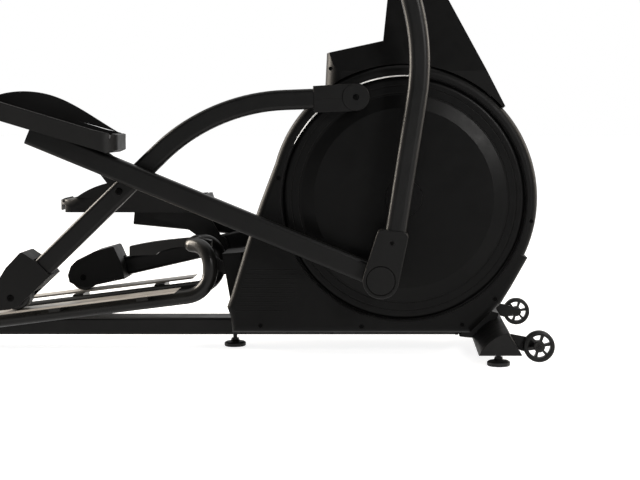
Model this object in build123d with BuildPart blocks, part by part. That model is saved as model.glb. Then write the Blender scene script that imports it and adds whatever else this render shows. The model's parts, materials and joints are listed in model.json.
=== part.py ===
"""Front-drive elliptical trainer with a powered ramp, as an assembly of separate pieces (millimetres, +Z up).

+X is forward, +Y is the user's left, and the origin is on the floor under the middle of the machine.
Side profiles are drawn as (distance ahead of the crank axis, height above the floor).
"""
import os
from math import atan2, cos, degrees, hypot, radians, sin, sqrt

from build123d import *

os.makedirs("parts", exist_ok=True)

# Driving dimensions
crank_x = 544.35  # crank axis ahead of the middle of the machine
crank_z = 362.0
crank_radius = 254.0  # half of the 508 mm stride
crank_phase = 115.3  # right crank above straight ahead, degrees
roller_link = 899.5  # roller axle to crank pin
pedal_joint = (330.5, 85.3)  # pedal arm pivot, along and above the line from roller to crank pin
pedal_link = 622.0  # pedal arm pivot to swing arm joint
swing_pivot = (-68.0, 1150.0)
swing_foot = (-47.3, 187.0)  # swing arm's lower joint when the crank is at crank_phase
ramp_slope = 0.1246
roller_line = (-784.0, 152.0)  # a point that the roller axles pass through
roller_r = 32.5

# Distances from the middle plane
house_half = 150.0
roller_y = 133.0
roller_arm_y = 175.5
pedal_arm_y = 215.0
swing_y = 257.0
roller_arm_t = 35.0
pedal_arm_t = 36.0
swing_t = 32.0

# Housing and discs
ring_r = 283.0  # opening round the disc
round_r = 306.0  # round part of the side covers
disc_r = 277.6
wall = 4.0
floor_base = 32.0  # underside of the base tube
base_h = 40.0
base_w = 80.0
rear_x = -1392.0  # middle of the rear stabilizer
ramp_hinge = (rear_x + 60, 42.0)
running = 0.05  # radial clearance of a running shaft
ramp_ear_y = 58.0  # ears that carry the ramp's pivot pins
gap = 0.5


def spot(point, y):
    """A point of the side profile at a distance y from the middle plane."""
    return (crank_x + point[0], y, point[1])


def side_plane(y, at=(0.0, 0.0), angle=0.0):
    """A plane facing the user's right, with its x turned up by angle."""
    a = radians(angle)
    return Plane(origin=spot(at, y), x_dir=(cos(a), 0, sin(a)), z_dir=(0, -1, 0))


def turn(v, angle):
    """The plane vector v turned by angle degrees."""
    a = radians(angle)
    return (cos(a) * v[0] - sin(a) * v[1], sin(a) * v[0] + cos(a) * v[1])


def bearing(a, b):
    """Angle in degrees of the line from a to b."""
    return degrees(atan2(b[1] - a[1], b[0] - a[0]))


def linkage(angle):
    """Crank pin, roller axle, pedal arm pivot and swing arm joint at a crank angle."""
    pin = (crank_radius * cos(radians(angle)), crank_z + crank_radius * sin(radians(angle)))
    run = hypot(1, ramp_slope)
    along = (1 / run, ramp_slope / run)
    w = (roller_line[0] - pin[0], roller_line[1] - pin[1])
    b = w[0] * along[0] + w[1] * along[1]
    c = w[0] ** 2 + w[1] ** 2 - roller_link**2
    t = -b - sqrt(b * b - c)
    roller = (roller_line[0] + t * along[0], roller_line[1] + t * along[1])
    step = turn(pedal_joint, bearing(roller, pin))
    pivot = (roller[0] + step[0], roller[1] + step[1])
    swing = hypot(swing_foot[0] - swing_pivot[0], swing_foot[1] - swing_pivot[1])
    d = hypot(swing_pivot[0] - pivot[0], swing_pivot[1] - pivot[1])
    a = (pedal_link**2 - swing**2 + d * d) / (2 * d)
    h = sqrt(pedal_link**2 - a * a)
    e = ((swing_pivot[0] - pivot[0]) / d, (swing_pivot[1] - pivot[1]) / d)
    joint = (pivot[0] + a * e[0] + h * e[1], pivot[1] + a * e[1] - h * e[0])
    return {"pin": pin, "roller": roller, "pivot": pivot, "joint": joint}


def finish(part, name):
    """Labels a finished piece and writes its file."""
    part.label = name
    export_step(part, f"parts/{name}.step")


def ring_sketch(outer, inner):
    Circle(outer)
    Circle(inner, mode=Mode.SUBTRACT)


# ---------------------------------------------------------------- base frame
base_front = 158.0
with BuildPart() as base_tube:
    with BuildSketch(side_plane(0)):
        Polygon(
            (rear_x + 26, floor_base),
            (base_front - 36, floor_base),
            (base_front + 6, floor_base + base_h),
            (rear_x + 26, floor_base + base_h),
            align=None,
        )
    extrude(amount=base_w / 2, both=True)
    fillet(base_tube.edges().filter_by(Axis.X), 6)
    with BuildSketch(side_plane(0)):
        Polygon(
            (rear_x + 22, floor_base + 3),
            (base_front - 33, floor_base + 3),
            (base_front + 3, floor_base + base_h - 3),
            (rear_x + 22, floor_base + base_h - 3),
            align=None,
        )
    extrude(amount=base_w / 2 - 3, both=True, mode=Mode.SUBTRACT)
    # plate that closes the front end, and the leveller's hole
    with BuildSketch(side_plane(0)):
        Polygon(
            (base_front - 36, floor_base),
            (base_front - 30, floor_base),
            (base_front + 12, floor_base + base_h),
            (base_front + 6, floor_base + base_h),
            align=None,
        )
    extrude(amount=base_w / 2, both=True)
    with Locations((crank_x - 403, 0, floor_base)):
        Cylinder(5, 30, mode=Mode.SUBTRACT)
finish(base_tube.part, "base_tube")

with BuildPart() as front_neck:
    with BuildSketch(side_plane(0)):
        Polygon(
            (base_front - 29.5, floor_base),
            (base_front - 17, floor_base - 2),
            (base_front + 30, 26),
            (base_front + 50, 40),
            (base_front + 66, 86),
            (base_front + 38, 94),
            (base_front + 12.5, floor_base + base_h),
            align=None,
        )
    extrude(amount=62, both=True)
    fillet(front_neck.edges().filter_by(Axis.Y), 2)
finish(front_neck.part, "front_neck")

stab_half = 296.0
with BuildPart() as front_stabilizer:
    with BuildSketch(side_plane(0)):
        with BuildLine():
            Polyline((162, 26), (257, 26), (228, 76))
            RadiusArc((228, 76), (162, 26), -88)
        make_face()
    extrude(amount=stab_half, both=True)
    chamfer(front_stabilizer.edges().group_by(Axis.Y)[0] + front_stabilizer.edges().group_by(Axis.Y)[-1], 1.5)
    add(front_neck.part, mode=Mode.SUBTRACT)
    with Locations((crank_x + 207, -264, 20), (crank_x + 207, 264, 20)):
        Cylinder(5, 40, mode=Mode.SUBTRACT)
finish(front_stabilizer.part, "front_stabilizer")

with BuildPart() as rear_stabilizer:
    with BuildSketch(Plane.XZ.offset(-stab_half + 20)):
        with Locations((crank_x + rear_x, 47)):
            RectangleRounded(52, 50, 12)
    extrude(amount=2 * (stab_half - 20))
    for s in (-1, 1):
        with BuildSketch(side_plane(s * ramp_ear_y)):
            with BuildLine():
                Line((rear_x + 20, 27), (rear_x + 60, 28))
                ThreePointArc((rear_x + 60, 28), (rear_x + 74, 42), (rear_x + 60, 56))
                Polyline((rear_x + 60, 56), (rear_x + 20, 68), (rear_x + 20, 27))
            make_face()
            with Locations(ramp_hinge):
                Circle(8 + running, mode=Mode.SUBTRACT)
        extrude(amount=4, both=True)
    with Locations(*[(crank_x + rear_x, y, 22) for y in (-240, 240)]):
        Cylinder(5, 40, mode=Mode.SUBTRACT)
finish(rear_stabilizer.part, "rear_stabilizer")


def levelling_foot(x, y, top):
    """A rubber-footed leveller: pad, bell and threaded stem up to the height top."""
    with BuildPart() as foot:
        with BuildSketch(Plane(origin=(crank_x + x, y, 0), x_dir=(1, 0, 0), z_dir=(0, -1, 0))):
            with BuildLine():
                Polyline((0, 0), (24, 0), (25.5, 2), (25.5, 8), (22, 10.5), (12, 12), (9, 16))
                Polyline((9, 16), (9, 19), (4.9, 19), (4.9, top), (0, top), (0, 0))
            make_face()
        revolve(axis=Axis((crank_x + x, y, 0), (0, 0, 1)))
    return foot.part


feet = [levelling_foot(207, y, 34) for y in (-264, 264)]
feet += [levelling_foot(rear_x, y, 36) for y in (-240, 240)]
feet += [levelling_foot(-403, 0, 44)]
finish(Compound(children=feet), "levelling_feet")

# ---------------------------------------------------------------- mast
mast_r = 30.0
mast_path = [(168, 72), (222, 370), (-133.3, 1320)]
with BuildPart() as mast:
    with BuildLine() as mast_line:
        FilletPolyline(*[spot(p, 0) for p in mast_path], radius=160)
    with BuildSketch(Plane(origin=mast_line.line @ 0, z_dir=mast_line.line % 0)):
        ring_sketch(mast_r, mast_r - 2.5)
    sweep()
    # sleeve that carries the swing arms' cross shaft
    with BuildSketch(side_plane(0, swing_pivot)):
        Circle(24)
    extrude(amount=64, both=True)
    add(front_neck.part, mode=Mode.SUBTRACT)
    add(base_tube.part, mode=Mode.SUBTRACT)
    with BuildSketch(side_plane(0, swing_pivot)):
        Circle(14 + 0.02)
    extrude(amount=70, both=True, mode=Mode.SUBTRACT)
finish(mast.part, "mast")

with BuildPart() as swing_shaft:
    with BuildSketch(side_plane(0, swing_pivot)):
        Circle(14)
    extrude(amount=swing_y + 18, both=True)
    chamfer(swing_shaft.edges(), 1.5)
finish(swing_shaft.part, "swing_shaft")

# ---------------------------------------------------------------- housing
flywheel_at = (-178.0, 232.0)
skirt = [(-296, 440), (-330, 350), (-359, 265), (-396, 140), (-406, 112), (-398, 90), (-393, 53)]
skirt += [(152, 53), (192, 92), (223, 120), (247, 159), (284, 224)]
plate_gap = 0.4  # parting line between the two side covers
cover_screw_spots = [(208, 131), (133, 72), (-97, 68), (-328, 70), (-287, 408)]
inlet_at = (-300, 100)
rolled_edge = 16.0


def cover_block(s, shrink):
    """Solid of one half of the housing, with every side moved in by shrink and its outer edges rolled."""
    roll = rolled_edge - shrink
    with BuildPart() as block:
        with BuildSketch(side_plane(0, (0, crank_z))):
            Circle(round_r - shrink)
        extrude(amount=-s * (house_half - shrink))
        fillet(block.edges().filter_by(GeomType.CIRCLE).sort_by(Axis.Y)[0 if s < 0 else -1], roll)
    with BuildPart() as apron:
        with BuildSketch(side_plane(0)):
            Polygon(*skirt, (0, crank_z), align=None)
            if shrink:
                offset(amount=-shrink, kind=Kind.INTERSECTION, mode=Mode.REPLACE)
        extrude(amount=-s * (house_half - shrink))
        rim = apron.faces().sort_by(Axis.Y)[0 if s < 0 else -1].edges()
        centre = Vector(crank_x, s * (house_half - shrink), crank_z - shrink)
        fillet([e for e in rim if min((v.center() - centre).length for v in e.vertices()) > 20], roll)
    return block.part + apron.part


def side_cover(s):
    """One half of the housing, with a round opening for its disc."""
    outer = cover_block(s, 0)
    inner = cover_block(s, wall)
    with BuildPart() as cover:
        add(outer)
        add(inner, mode=Mode.SUBTRACT)
        with BuildSketch(side_plane(s * house_half, (0, crank_z))):
            Circle(ring_r)
        extrude(amount=s * 20, mode=Mode.SUBTRACT)
        # room for the base tube, the neck, the rear cover and the mast shroud above the round part
        with Locations((crank_x - 100, 0, floor_base + base_h / 2)):
            Box(620, base_w + 2 * gap, base_h + 2 * gap, mode=Mode.SUBTRACT)
        with Locations((crank_x + 190, 0, 70)):
            Box(110, 126, 62, mode=Mode.SUBTRACT)
        with Locations((crank_x - 400, 0, 155.5)):
            Box(90, 133, 165, mode=Mode.SUBTRACT)
        with Locations((crank_x + 20, 0, crank_z + 290)):
            Box(380, 214, 140, mode=Mode.SUBTRACT)
        with Locations((crank_x, s * plate_gap / 4, 400)):
            Box(900, plate_gap / 2, 900, mode=Mode.SUBTRACT)
        lower_mast = Vector(mast_path[1][0] - mast_path[0][0], 0, mast_path[1][1] - mast_path[0][1])
        with BuildSketch(Plane(origin=spot(mast_path[0], 0), z_dir=lower_mast)):
            Circle(mast_r + 1)
        extrude(amount=160, mode=Mode.SUBTRACT)
        # recesses for the screws, and the left cover's cut-out for the power inlet
        with BuildSketch(side_plane(s * house_half)):
            with Locations(*cover_screw_spots):
                Circle(5.5)
        extrude(amount=s * 2.5, mode=Mode.SUBTRACT)
        if s > 0:
            with Locations((crank_x + inlet_at[0], house_half, inlet_at[1])):
                Box(28.6, 20, 22.6, mode=Mode.SUBTRACT)
    return cover.part


with BuildPart() as power_inlet:
    with Locations((crank_x + inlet_at[0], house_half - 6, inlet_at[1])):
        Box(28, 16, 22)
    with Locations((crank_x + inlet_at[0], house_half + 1, inlet_at[1])):
        Box(34, 2, 28)
    with Locations((crank_x + inlet_at[0], house_half + 2, inlet_at[1])):
        Box(20, 20, 14, mode=Mode.SUBTRACT)
    for x in (-5, 0, 5):
        with Locations((crank_x + inlet_at[0] + x, house_half - 5, inlet_at[1])):
            Box(1.6, 12, 4)
finish(power_inlet.part, "power_inlet")

screws = []
for s in (-1, 1):
    finish(side_cover(s), "right_side_cover" if s < 0 else "left_side_cover")
    with BuildPart() as screw_heads:
        with BuildSketch(side_plane(s * (house_half - 2.4))):
            with Locations(*cover_screw_spots):
                Circle(4.6)
        extrude(amount=-s * 1.8)
        with BuildSketch(side_plane(s * (house_half - 0.6))):
            with Locations(*cover_screw_spots):
                RegularPolygon(2, 6)
        extrude(amount=s * 1.2, mode=Mode.SUBTRACT)
    screws += screw_heads.part.solids()
finish(Compound(children=screws), "cover_screws")

# dark liner rings that close the gap round each disc, inside the covers
liners = []
for s in (-1, 1):
    with BuildPart() as liner:
        with BuildSketch(side_plane(s * (house_half - wall - 14), (0, crank_z))):
            ring_sketch(289, 281)
        extrude(amount=-s * 13.5)
        with BuildSketch(side_plane(s * (house_half - wall - 14), (0, crank_z))):
            ring_sketch(289, 270)
        extrude(amount=s * 3)
    liners += [liner.part]
finish(Compound(children=liners), "disc_liners")

with BuildPart() as rear_lift_cover:
    with BuildSketch(side_plane(0)):
        Polygon((-427, 226), (-376, 230), (-376, 73), (-402, 74), (-408, 118), align=None)
    extrude(amount=62, both=True)
    fillet(rear_lift_cover.edges().filter_by(Axis.Z), 8)
    with BuildSketch(side_plane(0)):
        Polygon((-423.5, 222), (-370, 226), (-370, 70), (-399, 70), (-404.5, 118), align=None)
    extrude(amount=59, both=True, mode=Mode.SUBTRACT)
    with Locations((crank_x - 415, 0, 151)):
        Box(60, 24, 126, mode=Mode.SUBTRACT)
finish(rear_lift_cover.part, "rear_lift_cover")

# mast shroud with the hump behind it, seated on the round part of the covers
shroud_half = 147.0
apex_half = 44.0
shroud_points = [(-182, 610), (-178, 694), (-48, 723), (-27, 932), (52, 932), (108, 814), (232, 572)]


def shroud_block(shrink):
    """Solid of the mast shroud, with every side moved in by shrink."""
    with BuildPart() as block:
        with BuildSketch(side_plane(0)):
            Polygon(*shroud_points, (0, crank_z), align=None)
            if shrink:
                offset(amount=-shrink, kind=Kind.INTERSECTION, mode=Mode.REPLACE)
        extrude(amount=shroud_half - shrink, both=True)
        steep = block.edges().filter_by(Axis.Z, tolerance=4)
        rear_edges = steep.filter_by_position(Axis.X, crank_x - 190, crank_x - 165)
        fillet(rear_edges, 36 - shrink)
        for s in (-1, 1):
            with BuildSketch(Plane.YZ.offset(crank_x - 300)):
                Polygon(
                    (s * (shroud_half - shrink + 1), 650),
                    (s * (apex_half - shrink), 940),
                    (s * (shroud_half + 20), 940),
                    (s * (shroud_half + 20), 650),
                    align=None,
                )
            extrude(amount=700, mode=Mode.SUBTRACT)
    return block.part


mast_lean = bearing(mast_path[1], mast_path[2])
with BuildPart() as mast_shroud:
    add(shroud_block(0))
    add(shroud_block(wall), mode=Mode.SUBTRACT)
    with BuildSketch(side_plane(0, (0, crank_z))):
        Circle(round_r + 1)
    extrude(amount=shroud_half + 5, both=True, mode=Mode.SUBTRACT)
    lean = radians(mast_lean)
    with BuildSketch(Plane(origin=spot(mast_path[1], 0), z_dir=(cos(lean), 0, sin(lean)))):
        Circle(mast_r + 1)
    extrude(amount=800, mode=Mode.SUBTRACT)
finish(mast_shroud.part, "mast_shroud")

# ---------------------------------------------------------------- crank, belt drive and brake
axle_r = 12.5
with BuildPart() as crank_axle:
    with BuildSketch(side_plane(0, (0, crank_z))):
        Circle(axle_r)
    extrude(amount=134, both=True)
    chamfer(crank_axle.edges(), 1)
finish(crank_axle.part, "crank_axle")

pulley_r = 150.0
with BuildPart() as drive_pulley:
    with BuildSketch(side_plane(-40, (0, crank_z))):
        ring_sketch(pulley_r, pulley_r - 14)
        ring_sketch(34, axle_r)
    extrude(amount=22)
    with BuildSketch(side_plane(-49, (0, crank_z))):
        ring_sketch(pulley_r - 13, 33)
        with PolarLocations(85, 6):
            Circle(26, mode=Mode.SUBTRACT)
    extrude(amount=5)
finish(drive_pulley.part, "drive_pulley")

with BuildPart() as crank_frame:
    for y in (-34, 28):
        with BuildSketch(side_plane(y)):
            Polygon((-70, 72.5), (80, 72.5), (40, crank_z), (-36, crank_z), align=None)
            with Locations((0, crank_z)):
                Circle(40)
                Circle(26, mode=Mode.SUBTRACT)
            with Locations((2, 190)):
                Circle(30, mode=Mode.SUBTRACT)
        extrude(amount=-6)
    with BuildSketch(side_plane(0, (0, crank_z))):
        ring_sketch(32, 26)
    extrude(amount=34, both=True)
    for y in (-34, 28):
        with BuildSketch(side_plane(y)):
            top = flywheel_at[1] + 14
            Polygon((-250, 72.5), (-110, 72.5), (-158, top), (-198, top), align=None)
            with Locations(flywheel_at):
                Circle(8.5 + running, mode=Mode.SUBTRACT)
        extrude(amount=-6)
finish(crank_frame.part, "crank_frame")

with BuildPart() as crank_bearings:
    for y in (-34, 20):
        with BuildSketch(side_plane(y, (0, crank_z))):
            ring_sketch(26, axle_r + running)
        extrude(amount=-14)
finish(crank_bearings.part, "crank_bearings")

flywheel_r = 96.0
small_pulley_r = 24.0
with BuildPart() as flywheel:
    with BuildSketch(side_plane(18, flywheel_at)):
        Circle(flywheel_r)
    extrude(amount=26)
    chamfer(flywheel.edges(), 2)
    for y in (18, -8):
        with BuildSketch(side_plane(y, flywheel_at)):
            ring_sketch(flywheel_r - 18, 30)
        extrude(amount=7 if y > 0 else -7, mode=Mode.SUBTRACT)
    with BuildSketch(side_plane(40, flywheel_at)):
        Circle(8.5)
    extrude(amount=106)
    with BuildSketch(side_plane(-41, flywheel_at)):
        Circle(small_pulley_r)
    extrude(amount=20)
finish(flywheel.part, "flywheel")

with BuildPart() as drive_belt:
    with BuildSketch(side_plane(-42)):
        for grow, mode in ((4.0, Mode.ADD), (0.4, Mode.SUBTRACT)):
            with BuildSketch(mode=Mode.PRIVATE) as loop:
                with Locations((0, crank_z)):
                    Circle(pulley_r + grow)
                with Locations(flywheel_at):
                    Circle(small_pulley_r + grow)
                make_hull()
            add(loop.sketch, mode=mode)
    extrude(amount=17)
finish(drive_belt.part, "drive_belt")

with BuildPart() as brake_unit:
    with BuildSketch(side_plane(0)):
        brake = [(-296, 76), (-256, 73), (-205, 73), (-205, 118), (-252, 152), (-292, 182), (-320, 168)]
        Polygon(*brake, align=None)
        with Locations(flywheel_at):
            Circle(flywheel_r - 16, mode=Mode.SUBTRACT)
    extrude(amount=27, both=True)
    with BuildSketch(side_plane(0, flywheel_at)):
        Circle(flywheel_r + 2)
    extrude(amount=15 + 5, both=True, mode=Mode.SUBTRACT)
    with Locations((crank_x - 300, 0, 30)):
        Box(300, 80, 85.5, mode=Mode.SUBTRACT)
finish(brake_unit.part, "brake_unit")

arms = {"right": (-1, crank_phase), "left": (1, crank_phase + 180)}
pin_r = 14.0


def crank_disc(s, angle):
    """Round cover that turns with the crank: raised middle, sloping step, two grooves and a rolled rim."""
    with BuildPart() as disc:
        with BuildSketch(Plane(origin=spot((0, crank_z), 0), x_dir=(1, 0, 0), z_dir=(0, 0, 1))):
            with BuildLine():
                Polyline((axle_r + 30, 131), (axle_r + 30, 150), (206, 150), (236, 143.5), (238.5, 143.5))
                Polyline((238.5, 143.5), (238.5, 141.8), (241.5, 141.8), (241.5, 143.5), (256, 143.5))
                Polyline((256, 143.5), (256, 141.8), (259, 141.8), (259, 143.5), (268, 143.5))
                RadiusArc((268, 143.5), (disc_r, 135), 9.6)
                Polyline((disc_r, 135), (disc_r, 133), (274, 133), (272, 138), (238, 138), (205, 145.5))
                Polyline((205, 145.5), (axle_r + 34, 145.5), (axle_r + 34, 131), (axle_r + 30, 131))
            make_face()
        revolve(axis=Axis(spot((0, crank_z), 0), (0, 1, 0)))
    body = disc.part if s > 0 else mirror(disc.part, about=Plane.XZ)
    with BuildPart() as finished:
        add(body)
        pin = turn((crank_radius, 0), angle)
        with BuildSketch(side_plane(s * 160, (pin[0], crank_z + pin[1]))):
            Circle(pin_r + 3)
        extrude(amount=s * 40, mode=Mode.SUBTRACT)
    return finished.part


def crank_arm(s, angle):
    """Arm behind the disc, with the boss on the axle and the stub that faces the roller arm."""
    pin = turn((crank_radius, 0), angle)
    with BuildPart() as arm:
        with BuildSketch(side_plane(s * 106, (0, crank_z), angle)):
            with BuildLine():
                Polyline((0, 30), (crank_radius, 20))
                ThreePointArc((crank_radius, 20), (crank_radius + 20, 0), (crank_radius, -20))
                Polyline((crank_radius, -20), (0, -30))
                ThreePointArc((0, -30), (-30, 0), (0, 30))
            make_face()
            Circle(axle_r, mode=Mode.SUBTRACT)
        extrude(amount=-s * 20)
        with BuildSketch(side_plane(s * 125, (0, crank_z))):
            ring_sketch(30, axle_r)
        extrude(amount=-s * 14)
        with BuildSketch(side_plane(s * 125, (pin[0], crank_z + pin[1]))):
            Circle(pin_r)
        extrude(amount=-s * 30.5)
    return arm.part


for side, (s, angle) in arms.items():
    finish(crank_disc(s, angle), f"{side}_crank_disc")
    finish(crank_arm(s, angle), f"{side}_crank_arm")
    with BuildPart() as hub_cap:
        with BuildSketch(side_plane(s * 141, (0, crank_z))):
            Circle(36.6)
            Circle(32, mode=Mode.SUBTRACT)
        extrude(amount=-s * 9)
        with BuildSketch(side_plane(s * 148, (0, crank_z))):
            Circle(42)
        extrude(amount=-s * 4.2)
    finish(hub_cap.part, f"{side}_hub_cap")

# ---------------------------------------------------------------- ramp and its lift
ramp_tube_r = 17.0
ramp_tube_y = 84.0
loop_x = -452.0
loop_top = 245.0


def rail_z(x):
    """Height of the rolling surface at a distance x ahead of the crank axis."""
    run = hypot(1, ramp_slope)
    return roller_line[1] + ramp_slope * (x - roller_line[0]) - (roller_r + 0.3) * run


def tube_z(x):
    """Height of the middle of the ramp's side tubes."""
    return rail_z(x) - 25.7


ramp_angle = degrees(atan2(ramp_slope, 1))
track_y = 140.0
track_w = 64.0
track_rear, track_front = -1262.0, -522.0
with BuildPart() as ramp_frame:
    half = [(ramp_hinge[0] - 10, -ramp_tube_y), (loop_x, -ramp_tube_y)]
    route = [spot((x, tube_z(x)), y) for x, y in half]
    route += [spot((loop_x, loop_top), -ramp_tube_y), spot((loop_x - 50, loop_top), -40)]
    route += [(x, -y, z) for x, y, z in reversed(route)]
    with BuildLine() as loop_line:
        FilletPolyline(*route, radius=[60, 48, 18, 18, 48, 60])
    with BuildSketch(Plane(origin=loop_line.line @ 0, z_dir=loop_line.line % 0)):
        Circle(ramp_tube_r)
    sweep()
    # cross bar near the rear, pivot pins, clips under the tracks, and the lug that the lift carries
    for s in (-1, 1):
        with BuildSketch(side_plane(s * (ramp_ear_y - 8), ramp_hinge)):
            Circle(8)
        extrude(amount=-s * (ramp_tube_y - ramp_ear_y + 8))
        for x in (-1200, -1000, -800, -600):
            with BuildSketch(side_plane(s * ramp_tube_y, (x, rail_z(x)), ramp_angle)):
                with Locations((0, -10)):
                    Rectangle(26, 10)
            extrude(amount=-s * (track_y - ramp_tube_y + 12))
    with BuildSketch(side_plane(0)):
        lug = [(-512, 234), (-490, 242), (-436, 204), (-412.5, 196), (-412.5, 178), (-428, 171), (-476, 204)]
        Polygon(*lug, align=None)
    extrude(amount=9, both=True)
finish(ramp_frame.part, "ramp_frame")

for side, (s, angle) in arms.items():
    with BuildPart() as track:
        with BuildSketch(side_plane(s * track_y, (track_rear, rail_z(track_rear)), ramp_angle)):
            length = (track_front - track_rear) * hypot(1, ramp_slope)
            Polygon((0, 0), (length + 6, 0), (length, -4.6), (0, -4.6), align=None)
        extrude(amount=track_w / 2, both=True)
    finish(track.part, f"{side}_track")

with BuildPart() as ramp_brace:
    with BuildSketch(side_plane(0)):
        with BuildLine():
            Polyline((-654, 216), (-654, 239))
            Spline((-654, 239), (-600, 249), (-540, 256), (-480, 257), (-459, 252))
            Polyline((-459, 252), (-459, 236), (-500, 236))
            Spline((-500, 236), (-545, 236), (-585, 224))
            Polyline((-585, 224), (-590, 219), (-654, 216))
        make_face()
    extrude(amount=14, both=True)
    fillet(ramp_brace.edges().filter_by(Axis.Y), 1.5)
    add(ramp_frame.part, mode=Mode.SUBTRACT)
finish(ramp_brace.part, "ramp_brace")

screw_foot = (-386.0, 83.4)
screw_top = (-401.0, 214.0)
screw_lean = bearing(screw_foot, screw_top)
screw_len = hypot(screw_top[0] - screw_foot[0], screw_top[1] - screw_foot[1])
screw_dir = (cos(radians(screw_lean)), 0, sin(radians(screw_lean)))
with BuildPart() as lift_screw:
    with BuildSketch(Plane(origin=spot(screw_foot, 0), z_dir=screw_dir)):
        Circle(6)
    extrude(amount=screw_len)
    for k in range(18):
        with BuildSketch(Plane(origin=spot(screw_foot, 0), z_dir=screw_dir).offset(14 + 6 * k)):
            ring_sketch(6.6, 5)
        extrude(amount=3)
finish(lift_screw.part, "lift_screw")

with BuildPart() as lift_motor:
    with BuildSketch(side_plane(0)):
        Polygon((-373, 74), (-330, 74), (-330, 128), (-373, 128), align=None)
    extrude(amount=34, both=True)
    with BuildSketch(side_plane(0)):
        Polygon((-397, 74), (-372, 74), (-372, 82), (-397, 82), align=None)
    extrude(amount=20, both=True)
    with BuildSketch(side_plane(0)):
        with Locations((-350, 128)):
            Rectangle(36, 70, align=(Align.CENTER, Align.MIN))
    extrude(amount=18, both=True)
    fillet(lift_motor.edges().filter_by(Axis.Z), 4)
finish(lift_motor.part, "lift_motor")

with BuildPart() as lift_nut:
    with BuildSketch(Plane(origin=spot(screw_foot, 0), z_dir=screw_dir).offset(91)):
        Rectangle(24, 22)
        Circle(6.9, mode=Mode.SUBTRACT)
    extrude(amount=26)
finish(lift_nut.part, "lift_nut")

# ---------------------------------------------------------------- linkage of each side
arm_corner = (610.0, 154.0)
arm_h = 46.0
joint_h = 48.0
swing_w = 46.0
pedal_drop = 4.306  # the pedal arm's tube is this much steeper than the line between its pivots, degrees
pedal_front = (-648.0, 32.0)
pedal_tilt = 5.6
pedal_len = 378.0
pedal_w = 150.0
pedal_y = 194.0
lug_y = 154.0
shaft_r = 12.0
cover_y = roller_arm_y + roller_arm_t / 2 + 3.2
roller_w = 40.0


def outward(s, length):
    """Extrusion length that points away from the middle of the machine on side s."""
    return -s * length


def offset_point(at, v, angle):
    """The point at v from at, in axes turned by angle."""
    step = turn(v, angle)
    return (at[0] + step[0], at[1] + step[1])


def roller_arm(s, at, angle):
    """Curved arm from the roller axle to the crank pin, with both bosses and the pivot hole between."""
    plane = side_plane(s * roller_arm_y, at, angle)
    with BuildPart() as arm:
        with BuildLine(plane) as route:
            FilletPolyline((0, 0), arm_corner, (roller_link, 0), radius=430)
        with BuildSketch(Plane(origin=route.line @ 0, x_dir=(0, 1, 0), z_dir=route.line % 0)):
            RectangleRounded(roller_arm_t, arm_h, 9)
        sweep()
        with BuildSketch(plane):
            Circle(arm_h / 2)
            with Locations((roller_link, 0)):
                Circle(27)
        extrude(amount=roller_arm_t / 2, both=True)
        with BuildSketch(plane):
            with Locations(pedal_joint):
                Circle(9 + running)
        extrude(amount=roller_arm_t, both=True, mode=Mode.SUBTRACT)
        with BuildSketch(side_plane(s * (roller_arm_y - 10), at)):
            Circle(8)
        extrude(amount=-outward(s, roller_arm_y - 10 - 110))
        with BuildSketch(side_plane(s * 110, at)):
            Circle(12)
        extrude(amount=-outward(s, 3))
    return arm.part


def crank_joint_cover(s, at, angle):
    """Moulded sleeve over the arm's front end, with a round cap over its boss and the bolt head in it."""
    seat = side_plane(s * (roller_arm_y - 17), at, angle)
    depth = roller_arm_t / 2 + 17
    with BuildPart() as cover:
        with BuildSketch(seat):
            with BuildLine():
                Polyline((-20, 30.5), (-96, 29), (-96, -31.5), (-20, -31.5), (0, -30.5))
                ThreePointArc((0, -30.5), (30.5, 0), (0, 30.5))
                Line((0, 30.5), (-20, 30.5))
            make_face()
        extrude(amount=outward(s, depth + 2.4))
        fillet(cover.faces().sort_by(Axis.Y)[0 if s < 0 else -1].edges(), 2)
        with BuildSketch(seat):
            Circle(27.5)
            with Locations((-60, 0)):
                Rectangle(120, arm_h + 1)
        extrude(amount=outward(s, depth + 0.4), mode=Mode.SUBTRACT)
        # parting line along the sleeve, the round cap and its screw recess
        with BuildSketch(side_plane(s * (cover_y - 1.8), at, angle)):
            with Locations((-66, -1)):
                Rectangle(72, 1)
        extrude(amount=outward(s, 2), mode=Mode.SUBTRACT)
        with BuildSketch(side_plane(s * (cover_y - 1.2), at)):
            Circle(30.5)
        extrude(amount=outward(s, 1.5))
        chamfer(cover.edges().filter_by(GeomType.CIRCLE).sort_by(Axis.Y)[0 if s < 0 else -1], 0.5)
        with BuildSketch(side_plane(s * (cover_y + 0.3), at)):
            Circle(7.5)
        extrude(amount=-outward(s, 2.4), mode=Mode.SUBTRACT)
    return cover.part


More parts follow.
